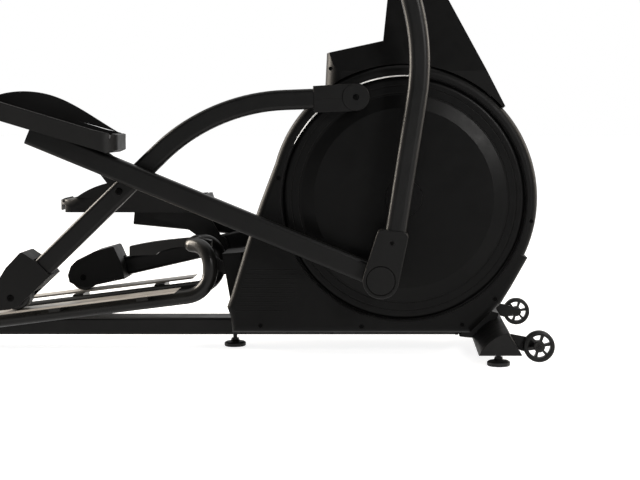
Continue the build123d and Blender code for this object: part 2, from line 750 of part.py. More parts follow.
def roller_cover(s, at, angle):
    """Moulded hood over the roller and the rear end of its arm, open underneath."""
    outline = [(-19, -17.5), (-36, -4), (-36, 14), (-24, 34), (-6, 45), (40, 56), (90, 58)]
    outline += [(99, 14), (99, -27), (0, -25)]
    with BuildPart() as hood:
        for shrink, near, far, mode in ((0, 103.0, 198.4, Mode.ADD), (3.4, 106.2, 195.2, Mode.SUBTRACT)):
            with BuildSketch(side_plane(s * near, at, angle)):
                Polygon(*outline, align=None)
                if shrink:
                    offset(amount=-shrink, kind=Kind.INTERSECTION, mode=Mode.REPLACE)
            extrude(amount=outward(s, far - near), mode=mode)
            if not shrink:
                fillet(hood.edges().filter_by(Axis.Y).sort_by(Axis.Z)[-3:], 6)
        # the roller runs out of the underside, and the arm leaves at the front
        with BuildSketch(side_plane(s * 106.2, at, angle)):
            Polygon((-22, 0), (45, 0), (45, -30), (-22, -30), align=None)
        extrude(amount=outward(s, 89), mode=Mode.SUBTRACT)
        with BuildSketch(side_plane(s * 106.2, at, angle)):
            Circle(roller_r + 2)
        extrude(amount=outward(s, 50.4), mode=Mode.SUBTRACT)
        with BuildSketch(side_plane(s * 156.6, at, angle)):
            Polygon((20, -24.6), (110, -24.6), (110, 26), (20, 26), align=None)
        extrude(amount=outward(s, 37.8), mode=Mode.SUBTRACT)
    return hood.part


def roller(s, at):
    """Urethane roller with a flanged hub, running on the arm's axle."""
    y = s * (roller_y - roller_w / 2)
    with BuildPart() as wheel:
        with BuildSketch(side_plane(y, at)):
            ring_sketch(roller_r, 8 + running)
        extrude(amount=outward(s, roller_w))
        chamfer(wheel.edges().filter_by(GeomType.CIRCLE).filter_by(lambda e: e.radius > 20), 2)
        for inset in (0, roller_w - 5):
            with BuildSketch(side_plane(y + s * inset, at)):
                ring_sketch(24, 14)
            extrude(amount=outward(s, 5), mode=Mode.SUBTRACT)
    return wheel.part


def pedal_arm(s, at, angle):
    """Straight tube from the swing arm joint back under the pedal, with the lug that holds the roller arm."""
    plane = side_plane(s * pedal_arm_y, at, angle)
    pivot = turn((-pedal_link, 0), pedal_drop)
    with BuildPart() as arm:
        with BuildSketch(plane):
            Polygon((-850, -joint_h / 2), (0, -joint_h / 2), (0, joint_h / 2), (-850, joint_h / 2), align=None)
        extrude(amount=pedal_arm_t / 2, both=True)
        fillet(arm.edges().filter_by(lambda e: e.length > 500), 8)
        with BuildSketch(plane):
            Circle(31)
        extrude(amount=pedal_arm_t / 2, both=True)
        with BuildSketch(plane):
            Circle(shaft_r + running)
        extrude(amount=pedal_arm_t, both=True, mode=Mode.SUBTRACT)
        with BuildSketch(side_plane(s * (lug_y - 3), at, angle)):
            with Locations(pivot):
                Circle(20)
            web = [(-638, -56), (-602, -50), (-650, 14), (-690, 24), (-790, 24), (-790, 2), (-700, -20)]
            Polygon(*web, align=None)
        extrude(amount=outward(s, 6))
        with BuildSketch(side_plane(s * (lug_y - 3), at, angle)):
            Polygon((-790, 2), (-700, -2), (-700, 24), (-790, 24), align=None)
        extrude(amount=outward(s, pedal_arm_y - lug_y + 3 - pedal_arm_t / 2 + 4))
        with BuildSketch(side_plane(s * (lug_y - 2), offset_point(at, pivot, angle))):
            Circle(9)
        extrude(amount=outward(s, roller_arm_y + roller_arm_t / 2 - lug_y + 2))
        # wedge that seats the pedal
        seat = offset_point(at, pedal_front, angle)
        with BuildSketch(side_plane(s * (pedal_arm_y - 14), seat, angle + pedal_tilt)):
            Polygon((-52, -2.7), (-182, 9.9), (-182, 18.9), (-52, 18.9), align=None)
        extrude(amount=outward(s, 28))
    return arm.part


def pedal(s, at, angle):
    """Moulded pedal tray: footbed inside a skirt, raised toe and a taller guard on the inner side."""
    seat = offset_point(at, pedal_front, angle)
    tilt = angle + pedal_tilt
    inner_y = pedal_y - pedal_w / 2
    with BuildPart() as tray:
        with BuildSketch(side_plane(s * inner_y, seat, tilt)):
            with BuildLine():
                Polyline((-16, 0), (0, 12), (-10, 44), (-60, 40), (-pedal_len + 20, 40), (-pedal_len, 30))
                Polyline((-pedal_len, 30), (-pedal_len, 8), (-pedal_len + 14, 0), (-16, 0))
            make_face()
        extrude(amount=outward(s, pedal_w))
        upright = tray.edges().filter_by(lambda e: abs((e @ 1 - e @ 0).Y) < 0.1 and 20 < e.length < 36)
        fillet(upright, 34)
        with BuildSketch(side_plane(s * (inner_y + 5), seat, tilt)):
            Polygon((-48, -5), (-48, 19), (-pedal_len + 6, 19), (-pedal_len + 6, -5), align=None)
        extrude(amount=outward(s, pedal_w - 10), mode=Mode.SUBTRACT)
        with BuildSketch(side_plane(s * (inner_y + 6), seat, tilt)):
            Polygon((-20, 25), (-20, 60), (-pedal_len + 8, 60), (-pedal_len + 8, 25), align=None)
        extrude(amount=outward(s, pedal_w - 12), mode=Mode.SUBTRACT)
        with BuildSketch(side_plane(s * inner_y, seat, tilt)):
            with BuildLine():
                Spline((-34, 42), (-80, 54.5), (-130, 68), (-205, 79), (-280, 66), (-335, 36))
                Line((-335, 36), (-34, 42))
            make_face()
        extrude(amount=outward(s, 6))
    return tray.part


def pedal_pad(s, at, angle):
    """Thick mat that lies in the pedal's footbed."""
    seat = offset_point(at, pedal_front, angle)
    with BuildPart() as pad:
        with BuildSketch(side_plane(s * (pedal_y - pedal_w / 2 + 7), seat, angle + pedal_tilt)):
            Polygon((-22, 25.2), (-22, 32), (-pedal_len + 10, 32), (-pedal_len + 10, 25.2), align=None)
        extrude(amount=outward(s, pedal_w - 14))
        upright = pad.edges().filter_by(lambda e: e.length < 12)
        fillet(upright, 20)
    return pad.part


swing_route = [(0, 0), (462, 104), (861, 34)]
handle_route = [(0, 0), (-116, -35), (-272, -117), (-452, -129)]
swing_len = hypot(swing_foot[0] - swing_pivot[0], swing_foot[1] - swing_pivot[1])
handle_r = 16.0
grip_r = 20.5
foot_outline = [(844, 62), (846, -4), (882, -2), (918, -18), (950, -38)]


def swing_arm(s, angle):
    """Cranked lower arm, hub on the cross shaft, upper handle and the foot with the pedal arm's pin."""
    plane = side_plane(s * swing_y, swing_pivot, angle)
    with BuildPart() as arm:
        with BuildLine(plane) as route:
            FilletPolyline(*swing_route, radius=520)
        with BuildSketch(Plane(origin=route.line @ 0, x_dir=(0, 1, 0), z_dir=route.line % 0)):
            RectangleRounded(swing_t, swing_w, 14)
        sweep()
        with BuildLine(plane) as upper:
            FilletPolyline(*handle_route, radius=110)
        with BuildSketch(Plane(origin=upper.line @ 0, x_dir=(0, 1, 0), z_dir=upper.line % 0)):
            Circle(handle_r)
        sweep()
        with BuildSketch(plane):
            Circle(30)
        extrude(amount=swing_t / 2 + 3, both=True)
        with BuildSketch(plane):
            with Locations((swing_len, 0)):
                Circle(28)
            Polygon((859, 54), (859, 15), (swing_len - 8, -26), (swing_len + 8, 26), align=None)
        extrude(amount=swing_t / 2, both=True)
        with BuildSketch(plane):
            Circle(14 + running)
        extrude(amount=40, both=True, mode=Mode.SUBTRACT)
        foot = offset_point(swing_pivot, (swing_len, 0), angle)
        with BuildSketch(side_plane(s * (pedal_arm_y - pedal_arm_t / 2), foot)):
            Circle(shaft_r)
        extrude(amount=outward(s, swing_y - pedal_arm_y + pedal_arm_t / 2 + 4))
    return arm.part


def swing_joint_cover(s, angle):
    """Moulded cover round the swing arm's foot, with a round cap over the joint and a screw above it."""
    near, far = pedal_arm_y + pedal_arm_t / 2 + 1.2, swing_y + swing_t / 2 + 4
    corners = [((swing_len, 0), 40), ((868, 50), 12), ((862, 5), 12)]
    with BuildPart() as cover:
        for shrink, end, mode in ((0, far, Mode.ADD), (3.5, far - 3.4, Mode.SUBTRACT)):
            with BuildSketch(mode=Mode.PRIVATE) as outline:
                for at, radius in corners:
                    with Locations(at):
                        Circle(radius - shrink)
                make_hull()
            with BuildSketch(side_plane(s * near, swing_pivot, angle)):
                add(outline.sketch)
            extrude(amount=outward(s, end - near), mode=mode)
            if not shrink:
                fillet(cover.faces().sort_by(Axis.Y)[0 if s < 0 else -1].edges(), 3)
        # the swing arm comes in from above
        with BuildSketch(side_plane(s * near, swing_pivot, angle)):
            with Locations((838, 38)):
                Rectangle(60, swing_w + 1, rotation=bearing(swing_route[1], swing_route[2]))
        extrude(amount=outward(s, swing_y + swing_t / 2 + 0.5 - near), mode=Mode.SUBTRACT)
        with BuildSketch(side_plane(s * far, offset_point(swing_pivot, (swing_len, 0), angle))):
            ring_sketch(33, 30.5)
        extrude(amount=-outward(s, 0.8), mode=Mode.SUBTRACT)
        with BuildSketch(side_plane(s * far, offset_point(swing_pivot, (881, 26), angle))):
            ring_sketch(6.5, 4.6)
        extrude(amount=-outward(s, 1), mode=Mode.SUBTRACT)
    return cover.part


def handle_grip(s, angle):
    """Foam sleeve on the upper handle, closed at its end."""
    plane = side_plane(s * swing_y, swing_pivot, angle)
    start, end = Vector(-300, -118.9), Vector(-462, -129.7)
    axis = (end - start).normalized()
    a, b = plane.from_local_coords(start), plane.from_local_coords(end)
    with BuildPart() as grip:
        with BuildSketch(Plane(origin=a, z_dir=b - a)):
            Circle(grip_r)
        extrude(amount=(end - start).length)
        fillet(grip.edges().filter_by(GeomType.CIRCLE), 4)
        with BuildSketch(Plane(origin=a, z_dir=b - a)):
            Circle(handle_r + 0.05)
        extrude(amount=(end - start).length - 9.6, mode=Mode.SUBTRACT)
    return grip.part


for side, (s, phase) in arms.items():
    places = linkage(phase)
    arm_angle = bearing(places["roller"], places["pin"])
    bar_angle = bearing(places["pivot"], places["joint"]) - pedal_drop
    swing_angle = bearing(swing_pivot, places["joint"])
    front_angle = arm_angle + bearing(arm_corner, (roller_link, 0))
    hood_angle = bearing(places["roller"], places["pivot"])
    for name, point in places.items():
        print(side, name, round(crank_x + point[0], 3), round(point[1], 3))
    finish(roller_arm(s, places["roller"], arm_angle), f"{side}_roller_arm")
    finish(crank_joint_cover(s, places["pin"], front_angle), f"{side}_crank_joint_cover")
    finish(roller_cover(s, places["roller"], hood_angle), f"{side}_roller_cover")
    finish(roller(s, places["roller"]), f"{side}_roller")
    finish(pedal_arm(s, places["joint"], bar_angle), f"{side}_pedal_arm")
    finish(pedal(s, places["joint"], bar_angle), f"{side}_pedal")
    finish(pedal_pad(s, places["joint"], bar_angle), f"{side}_pedal_pad")
    finish(swing_arm(s, swing_angle), f"{side}_swing_arm")
    finish(swing_joint_cover(s, swing_angle), f"{side}_swing_joint_cover")
    finish(handle_grip(s, swing_angle), f"{side}_handle_grip")

# ---------------------------------------------------------------- transport wheels
wheel_at = (295.0, 44.0)
wheel_r = 34.3
wheel_y = 275.0
eye_top = (wheel_at[0], wheel_at[1] + 10)
eye_low = (wheel_at[0] - 3, wheel_at[1] - 9.6)
brackets = []
for side, (s, phase) in arms.items():
    with BuildPart() as bracket:
        with BuildSketch(side_plane(s * (wheel_y - 16))):
            with BuildLine():
                Polyline(eye_top, (266, 63), (234, 69), (234, 40), (262, 31), eye_low)
                ThreePointArc(eye_low, (wheel_at[0] + 10, wheel_at[1]), eye_top)
            make_face()
            with Locations(wheel_at):
                Circle(5, mode=Mode.SUBTRACT)
        extrude(amount=outward(s, 4))
        with BuildSketch(side_plane(s * (wheel_y - 16), wheel_at)):
            Circle(5)
        extrude(amount=outward(s, 32))
        add(front_stabilizer.part, mode=Mode.SUBTRACT)
    brackets += [bracket.part]
    with BuildPart() as wheel:
        with BuildSketch(side_plane(s * (wheel_y - 11), wheel_at)):
            ring_sketch(wheel_r, wheel_r - 9)
        extrude(amount=outward(s, 22))
        fillet(wheel.edges().filter_by(GeomType.CIRCLE).filter_by(lambda e: e.radius > 30), 5)
        with BuildSketch(side_plane(s * (wheel_y - 9), wheel_at)):
            ring_sketch(wheel_r - 8.9, 5 + running)
            with PolarLocations(18, 6):
                SlotArc(CenterArc((-18, 0), 18, -9, 18), 9.5, mode=Mode.SUBTRACT)
        extrude(amount=outward(s, 18))
        with BuildSketch(side_plane(s * (wheel_y - 11), wheel_at)):
            ring_sketch(9, 5 + running)
        extrude(amount=outward(s, 22))
    finish(wheel.part, f"{side}_transport_wheel")
finish(Compound(children=brackets), "wheel_brackets")

# ---------------------------------------------------------------- console and fixed handlebar
console_at = (-167.6, 1331.0)
console_plane = side_plane(0, console_at, 128)
with BuildPart() as console:
    with BuildSketch(console_plane):
        with BuildLine():
            Polyline((-92, 4), (-98, 22), (-84, 34), (128, 34), (140, 20), (128, -18), (20, -48))
            Polyline((20, -48), (-60, -44), (-92, 4))
        make_face()
    extrude(amount=178, both=True)
    fillet(console.edges().filter_by(Axis.Y), 6)
    with BuildSketch(console_plane):
        Polygon((-76, 31), (118, 31), (118, 40), (-76, 40), align=None)
    extrude(amount=150, both=True, mode=Mode.SUBTRACT)
    add(mast.part, mode=Mode.SUBTRACT)
finish(console.part, "console")

with BuildPart() as console_display:
    with BuildSketch(console_plane):
        Polygon((-74, 31), (116, 31), (116, 33.4), (-74, 33.4), align=None)
    extrude(amount=148, both=True)
finish(console_display.part, "console_display")

with BuildPart() as fixed_handlebar:
    ends = [(-90.3, 20, 1205), (-90.3, 150, 1205), (-340, 150, 1250), (-380, 150, 1320)]
    for s in (-1, 1):
        with BuildLine() as rail:
            FilletPolyline(*[(crank_x + x, s * y, z) for x, y, z in ends], radius=45)
        with BuildSketch(Plane(origin=rail.line @ 0, z_dir=rail.line % 0)):
            Circle(14)
        sweep()
    add(mast.part, mode=Mode.SUBTRACT)
finish(fixed_handlebar.part, "fixed_handlebar")
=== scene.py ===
"""Look of the elliptical trainer: materials, fittings, grips and mats, floor, light and camera."""

import json
from math import atan2, cos, pi, radians, sin

import bmesh
import bpy
from mathutils import Matrix, Vector


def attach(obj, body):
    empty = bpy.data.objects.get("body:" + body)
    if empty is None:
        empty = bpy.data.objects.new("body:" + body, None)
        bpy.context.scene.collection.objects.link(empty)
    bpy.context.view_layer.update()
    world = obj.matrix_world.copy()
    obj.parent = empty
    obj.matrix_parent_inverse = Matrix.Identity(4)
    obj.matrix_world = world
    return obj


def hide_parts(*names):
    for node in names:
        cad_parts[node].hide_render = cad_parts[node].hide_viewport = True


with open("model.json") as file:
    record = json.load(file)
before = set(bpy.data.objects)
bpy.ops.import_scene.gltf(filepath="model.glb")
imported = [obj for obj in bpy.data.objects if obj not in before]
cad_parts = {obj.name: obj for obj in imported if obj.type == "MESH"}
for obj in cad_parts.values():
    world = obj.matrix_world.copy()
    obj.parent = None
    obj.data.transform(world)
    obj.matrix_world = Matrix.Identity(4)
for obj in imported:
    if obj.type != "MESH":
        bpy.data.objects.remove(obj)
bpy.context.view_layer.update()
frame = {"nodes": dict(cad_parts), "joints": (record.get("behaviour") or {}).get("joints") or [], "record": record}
nodes = frame["nodes"]
SIDES = {"right": -1, "left": 1}

# ---------------------------------------------------------------- places, from the frame's joints
joint_at = {j["name"]: Vector(j["pos_m"]) for j in frame["joints"] if "pos_m" in j}
crank = joint_at["crank_spin"]
swing_pivot = joint_at["right_swing"]


def turned(x, z, angle):
    """The side-profile vector (x, z) turned up by angle."""
    return Vector((x * cos(angle) - z * sin(angle), 0, x * sin(angle) + z * cos(angle)))


def bearing(a, b):
    """Angle of the line from a to b in the side view."""
    return atan2(b.z - a.z, b.x - a.x)


def from_crank(x_mm, z_mm, y_mm):
    """A place given in millimetres ahead of the crank axis, above the floor and from the middle."""
    return Vector((crank.x + x_mm / 1000, y_mm / 1000, z_mm / 1000))


class SideFrame:
    """Axes of one side piece: u along it, v upwards from it, in the side view."""

    def __init__(self, origin, angle, y):
        self.origin = Vector((origin.x, y, origin.z))
        self.angle = angle

    def at(self, u, v, w=0.0):
        return self.origin + turned(u, v, self.angle) + Vector((0, w, 0))


# ---------------------------------------------------------------- materials
def new_material(name):
    material = bpy.data.materials.new(name)
    material.use_nodes = True
    tree = material.node_tree
    shader = tree.nodes["Principled BSDF"]
    return material, tree, shader


def add_node(tree, kind, values=None, **settings):
    made = tree.nodes.new(kind)
    for key, value in settings.items():
        setattr(made, key, value)
    for key, value in (values or {}).items():
        made.inputs[key].default_value = value
    return made


def noise(tree, scale, detail=4.0, rough=0.55, coords=None, stretch=None):
    """Noise over the piece's own coordinates, stretched where a finish has a direction."""
    coords = coords or add_node(tree, "ShaderNodeTexCoord").outputs["Object"]
    if stretch:
        mapping = add_node(tree, "ShaderNodeMapping", {"Scale": stretch})
        tree.links.new(coords, mapping.inputs["Vector"])
        coords = mapping.outputs["Vector"]
    made = add_node(tree, "ShaderNodeTexNoise", {"Scale": scale, "Detail": detail, "Roughness": rough})
    tree.links.new(coords, made.inputs["Vector"])
    return made.outputs["Fac"]


def ramp(tree, fac, low, high, at=(0.35, 0.65)):
    """Colour that runs from low to high over the middle of fac."""
    made = add_node(tree, "ShaderNodeValToRGB")
    tree.links.new(fac, made.inputs["Fac"])
    for element, place, colour in zip(made.color_ramp.elements, at, (low, high)):
        element.position = place
        element.color = (*colour, 1)
    return made.outputs["Color"]


def spread(tree, fac, low, high):
    made = add_node(tree, "ShaderNodeMapRange", {"From Min": 0.3, "From Max": 0.7, "To Min": low, "To Max": high})
    tree.links.new(fac, made.inputs["Value"])
    return made.outputs["Result"]


def mix(tree, fac, a, b):
    made = add_node(tree, "ShaderNodeMix", data_type="RGBA")
    tree.links.new(fac, made.inputs["Factor"])
    for socket, value in ((made.inputs["A"], a), (made.inputs["B"], b)):
        if isinstance(value, tuple):
            socket.default_value = (*value, 1)
        else:
            tree.links.new(value, socket)
    return made.outputs["Result"]


def edge_mask(tree, radius):
    """1 along sharp edges within radius, 0 on flat faces, with the rounded normal beside it."""
    soft = add_node(tree, "ShaderNodeBevel", {"Radius": radius}, samples=4)
    geometry = add_node(tree, "ShaderNodeNewGeometry")
    dot = add_node(tree, "ShaderNodeVectorMath", operation="DOT_PRODUCT")
    tree.links.new(soft.outputs["Normal"], dot.inputs[0])
    tree.links.new(geometry.outputs["Normal"], dot.inputs[1])
    made = add_node(tree, "ShaderNodeMapRange", {"From Min": 0.995, "From Max": 0.85, "To Min": 0.0, "To Max": 1.0})
    tree.links.new(dot.outputs["Value"], made.inputs["Value"])
    return made.outputs["Result"], soft.outputs["Normal"]


def bump(tree, height, strength, distance, normal=None):
    made = add_node(tree, "ShaderNodeBump", {"Strength": strength, "Distance": distance})
    tree.links.new(height, made.inputs["Height"])
    if normal:
        tree.links.new(normal, made.inputs["Normal"])
    return made.outputs["Normal"]


def finish_material(
    name, dark, light, rough, specular=0.3, metallic=0.0, grain=900.0, depth=0.00012,
    strength=0.35, round_edge=0.0008, wear=None, stretch=None,
):
    """Moulded, painted or machined surface: mottled colour, grain in the bump, softened and worn edges."""
    material, tree, shader = new_material(name)
    broad = noise(tree, 9.0, 5.0)
    fine = noise(tree, grain, 3.0, stretch=stretch)
    colour = ramp(tree, broad, dark, light)
    edges, rounded = edge_mask(tree, round_edge)
    if wear:
        scratch = noise(tree, 160.0, 6.0, 0.7)
        worn = add_node(tree, "ShaderNodeMath", operation="MULTIPLY")
        tree.links.new(edges, worn.inputs[0])
        tree.links.new(scratch, worn.inputs[1])
        colour = mix(tree, worn.outputs["Value"], colour, wear)
    tree.links.new(colour, shader.inputs["Base Color"])
    tree.links.new(spread(tree, noise(tree, 35.0, 6.0), rough[0], rough[1]), shader.inputs["Roughness"])
    tree.links.new(bump(tree, fine, strength, depth, rounded), shader.inputs["Normal"])
    shader.inputs["Metallic"].default_value = metallic
    shader.inputs["Specular IOR Level"].default_value = specular
    return material


BLACK, BLACK_LIGHT = (0.0011, 0.0011, 0.0011), (0.002, 0.002, 0.002)
WORN = (0.022, 0.0205, 0.019)

materials = {
    "frame_paint": finish_material("frame_powder_coat", BLACK, BLACK_LIGHT, (0.38, 0.5), 0.16, grain=700,
                                   strength=0.45, wear=WORN),
    "arm_paint": finish_material("arm_powder_coat", BLACK, BLACK_LIGHT, (0.36, 0.46), 0.15, grain=1100, wear=WORN),
    "ramp_paint": finish_material("ramp_satin_coat", (0.0036, 0.0035, 0.0033), (0.0056, 0.0054, 0.005),
                                  (0.26, 0.36), 0.16, grain=1400, strength=0.15, wear=WORN),
    "cover_plastic": finish_material("cover_grained_plastic", BLACK, BLACK_LIGHT, (0.42, 0.52), 0.085, grain=1500,
                                     strength=0.4, wear=WORN),
    "disc_plastic": finish_material("disc_plastic", (0.0008, 0.0008, 0.0008), (0.0015, 0.0015, 0.0015),
                                    (0.33, 0.42), 0.085, grain=1300, strength=0.25, wear=WORN),
    "cap_plastic": finish_material("cap_plastic", BLACK, BLACK_LIGHT, (0.3, 0.4), 0.3, grain=1600, strength=0.15),
    "joint_plastic": finish_material("joint_cover_plastic", (0.0014, 0.0014, 0.0014), (0.0024, 0.0024, 0.0024),
                                     (0.4, 0.5), 0.13, grain=1500, strength=0.4, wear=WORN),
    "cast_arm": finish_material("cast_arm", (0.012, 0.012, 0.012), (0.02, 0.02, 0.02), (0.5, 0.62), 0.4, grain=350,
                                strength=0.6, depth=0.0003),
    "roller_urethane": finish_material("roller_urethane", (0.006, 0.006, 0.0058), (0.01, 0.0098, 0.0095), (0.35, 0.5),
                                       0.3, grain=500, strength=0.2),
    "pedal_plastic": finish_material("pedal_plastic", (0.003, 0.003, 0.003), (0.0048, 0.0047, 0.0046), (0.42, 0.55),
                                     0.16, grain=900, strength=0.55, wear=WORN),
    "track_aluminium": finish_material("track_anodised", (0.26, 0.235, 0.205), (0.36, 0.33, 0.29), (0.34, 0.46), 0.5,
                                       metallic=0.85, grain=300, strength=0.3, stretch=(0.06, 1, 1)),
    "foot_rubber": finish_material("foot_rubber", BLACK, BLACK_LIGHT, (0.5, 0.62), 0.3, grain=600, strength=0.4),
    "steel": finish_material("ground_steel", (0.42, 0.42, 0.43), (0.55, 0.55, 0.56), (0.22, 0.34), 0.5, metallic=1.0,
                             grain=500, strength=0.2, stretch=(1, 0.05, 1)),
    # black oxide of the screws, also used on the thin rings that paint the shadow line round the joint caps
    "screw_steel": finish_material("black_oxide_and_painted_shadow", (0.0008, 0.0008, 0.0008), (0.0014, 0.0014, 0.0014), (0.4, 0.52), 0.03,
                                   grain=800, strength=0.15),
    "liner_plastic": finish_material("liner_plastic", (0.002, 0.002, 0.002), (0.003, 0.003, 0.003), (0.5, 0.6), 0.15,
                                     grain=700),
    # pale colour of the strip that paints a highlight along each disc's rim
    "rim_highlight_paint": finish_material("painted_rim_highlight", (0.86, 0.85, 0.82), (0.93, 0.92, 0.9), (0.35, 0.5), 0.4,
                                     grain=700, strength=0.1),
    "pulley_aluminium": finish_material("pulley_aluminium", (0.5, 0.5, 0.51), (0.62, 0.62, 0.63), (0.25, 0.36), 0.5,
                                        metallic=1.0, grain=400),
    "flywheel_iron": finish_material("flywheel_iron", (0.07, 0.07, 0.072), (0.12, 0.12, 0.123), (0.3, 0.42), 0.5,
                                     metallic=0.9, grain=400),
    "belt_rubber": finish_material("belt_rubber", (0.008, 0.008, 0.008), (0.013, 0.013, 0.013), (0.55, 0.68), 0.3),
    "brake_plastic": finish_material("brake_plastic", (0.03, 0.03, 0.032), (0.045, 0.045, 0.047), (0.4, 0.5), 0.4),
    "motor_paint": finish_material("motor_paint", (0.03, 0.03, 0.031), (0.05, 0.05, 0.052), (0.3, 0.42), 0.4),
    "nut_brass": finish_material("nut_brass", (0.5, 0.37, 0.15), (0.62, 0.48, 0.22), (0.25, 0.36), 0.5, metallic=1.0),
    "console_plastic": finish_material("console_plastic", (0.008, 0.008, 0.0085), (0.012, 0.012, 0.0125), (0.4, 0.52),
                                       0.32, grain=1300, strength=0.4, wear=WORN),
}


def foam_material(name):
    """Closed-cell foam: pitted skin with a faint sheen."""
    material, tree, shader = new_material(name)
    cells = add_node(tree, "ShaderNodeTexVoronoi", {"Scale": 1500.0})
    tree.links.new(add_node(tree, "ShaderNodeTexCoord").outputs["Object"], cells.inputs["Vector"])
    tree.links.new(ramp(tree, noise(tree, 40.0), (0.006, 0.006, 0.006), (0.012, 0.0118, 0.0116)),
                   shader.inputs["Base Color"])
    tree.links.new(spread(tree, noise(tree, 60.0), 0.72, 0.86), shader.inputs["Roughness"])
    pits = bump(tree, cells.outputs["Distance"], 0.5, 0.0004)
    tree.links.new(bump(tree, noise(tree, 240.0), 0.3, 0.0003, pits), shader.inputs["Normal"])
    shader.inputs["Specular IOR Level"].default_value = 0.25
    shader.inputs["Sheen Weight"].default_value = 0.08
    return material


def wheel_material(name, centre, tread_from):
    """Plastic hub inside tread_from of the wheel's axis, rubber tread outside it."""
    material, tree, shader = new_material(name)
    coords = add_node(tree, "ShaderNodeTexCoord").outputs["Object"]
    away = add_node(tree, "ShaderNodeVectorMath", operation="SUBTRACT")
    away.inputs[1].default_value = centre
    tree.links.new(coords, away.inputs[0])
    flat = add_node(tree, "ShaderNodeVectorMath", operation="MULTIPLY")
    flat.inputs[1].default_value = (1, 0, 1)
    tree.links.new(away.outputs["Vector"], flat.inputs[0])
    reach = add_node(tree, "ShaderNodeVectorMath", operation="LENGTH")
    tree.links.new(flat.outputs["Vector"], reach.inputs[0])
    tread = add_node(tree, "ShaderNodeMath", operation="GREATER_THAN")
    tread.inputs[1].default_value = tread_from
    tree.links.new(reach.outputs["Value"], tread.inputs[0])
    hub = ramp(tree, noise(tree, 60.0), (0.009, 0.0088, 0.0085), (0.014, 0.0136, 0.013))
    rubber = ramp(tree, noise(tree, 90.0), (0.0035, 0.0035, 0.0034), (0.006, 0.006, 0.0058))
    tree.links.new(mix(tree, tread.outputs["Value"], hub, rubber), shader.inputs["Base Color"])
    tree.links.new(spread(tree, noise(tree, 50.0), 0.38, 0.55), shader.inputs["Roughness"])
    edges, rounded = edge_mask(tree, 0.0008)
    tree.links.new(bump(tree, noise(tree, 700.0), 0.3, 0.0002, rounded), shader.inputs["Normal"])
    shader.inputs["Specular IOR Level"].default_value = 0.14
    return material


def screen_material(name):
    """Dark display glass with a clear coat, blank."""
    material, tree, shader = new_material(name)
    tree.links.new(ramp(tree, noise(tree, 20.0), (0.004, 0.0045, 0.006), (0.007, 0.008, 0.011)),
                   shader.inputs["Base Color"])
    tree.links.new(spread(tree, noise(tree, 90.0, 6.0), 0.06, 0.13), shader.inputs["Roughness"])
    tree.links.new(bump(tree, noise(tree, 800.0), 0.04, 0.0001), shader.inputs["Normal"])
    shader.inputs["Coat Weight"].default_value = 0.6
    return material


materials["grip_foam"] = foam_material("grip_foam")
materials["pad_rubber"] = finish_material("pedal_mat_rubber", (0.009, 0.0088, 0.0086), (0.015, 0.0147, 0.0143),
                                          (0.5, 0.65), 0.35, grain=500, strength=0.5, depth=0.0003)
materials["display_glass"] = screen_material("display_glass")
materials["key_rubber"] = finish_material("key_rubber", (0.045, 0.045, 0.047), (0.065, 0.065, 0.068), (0.45, 0.6), 0.35,
                                          grain=900, strength=0.3)
materials["start_key"] = finish_material("start_key_rubber", (0.03, 0.2, 0.05), (0.04, 0.26, 0.07), (0.42, 0.55), 0.35,
                                         grain=900, strength=0.3)

slot_of = {part["node"]: part["material_slot"] for part in frame["record"]["subparts"]}
for name, piece in nodes.items():
    slot_name = "disc_plastic" if name.endswith("hub_cap") else slot_of[name]
    if slot_name == "wheel_plastic":
        wheel_side = name.split("_")[0]
        look = wheel_material(f"{wheel_side}_wheel", joint_at[f"{wheel_side}_wheel_spin"], 0.0254)
    else:
        look = materials[slot_name]
    piece.data.materials.clear()
    piece.data.materials.append(look)


# ---------------------------------------------------------------- mesh helpers
def add_piece(name, mesh_maker, material, body, smooth_angle=40.0, bevel=0.0, matrix=None):
    """New visual piece made by mesh_maker(bm), riding on a body."""
    bm = bmesh.new()
    mesh_maker(bm)
    bmesh.ops.recalc_face_normals(bm, faces=bm.faces)
    if matrix is not None:
        bm.transform(matrix)
    mesh = bpy.data.meshes.new(name)
    bm.to_mesh(mesh)
    bm.free()
    for polygon in mesh.polygons:
        polygon.use_smooth = True
    mesh.set_sharp_from_angle(angle=radians(smooth_angle))
    piece = bpy.data.objects.new(name, mesh)
    bpy.context.scene.collection.objects.link(piece)
    mesh.materials.append(material)
    if bevel:
        edge = piece.modifiers.new("edge", "BEVEL")
        edge.width = bevel
        edge.segments = 3
        edge.limit_method = "ANGLE"
        edge.angle_limit = radians(35)
    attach(piece, body)
    return piece


def lathe(profile, segments=48):
    """Maker of a solid of revolution about local y from (radius, y) points that start and end on the axis."""

    def make(bm):
        rings = []
        for radius, along in profile:
            if radius < 1e-6:
                rings.append([bm.verts.new((0, along, 0))])
            else:
                rings.append([
                    bm.verts.new((radius * cos(2 * pi * k / segments), along, radius * sin(2 * pi * k / segments)))
                    for k in range(segments)
                ])
        for lower, upper in zip(rings, rings[1:]):
            for k in range(segments):
                corners = [lower[k % len(lower)], lower[(k + 1) % len(lower)],
                           upper[(k + 1) % len(upper)], upper[k % len(upper)]]
                corners = list(dict.fromkeys(corners))
                if len(corners) > 2:
                    bm.faces.new(corners)

    return make


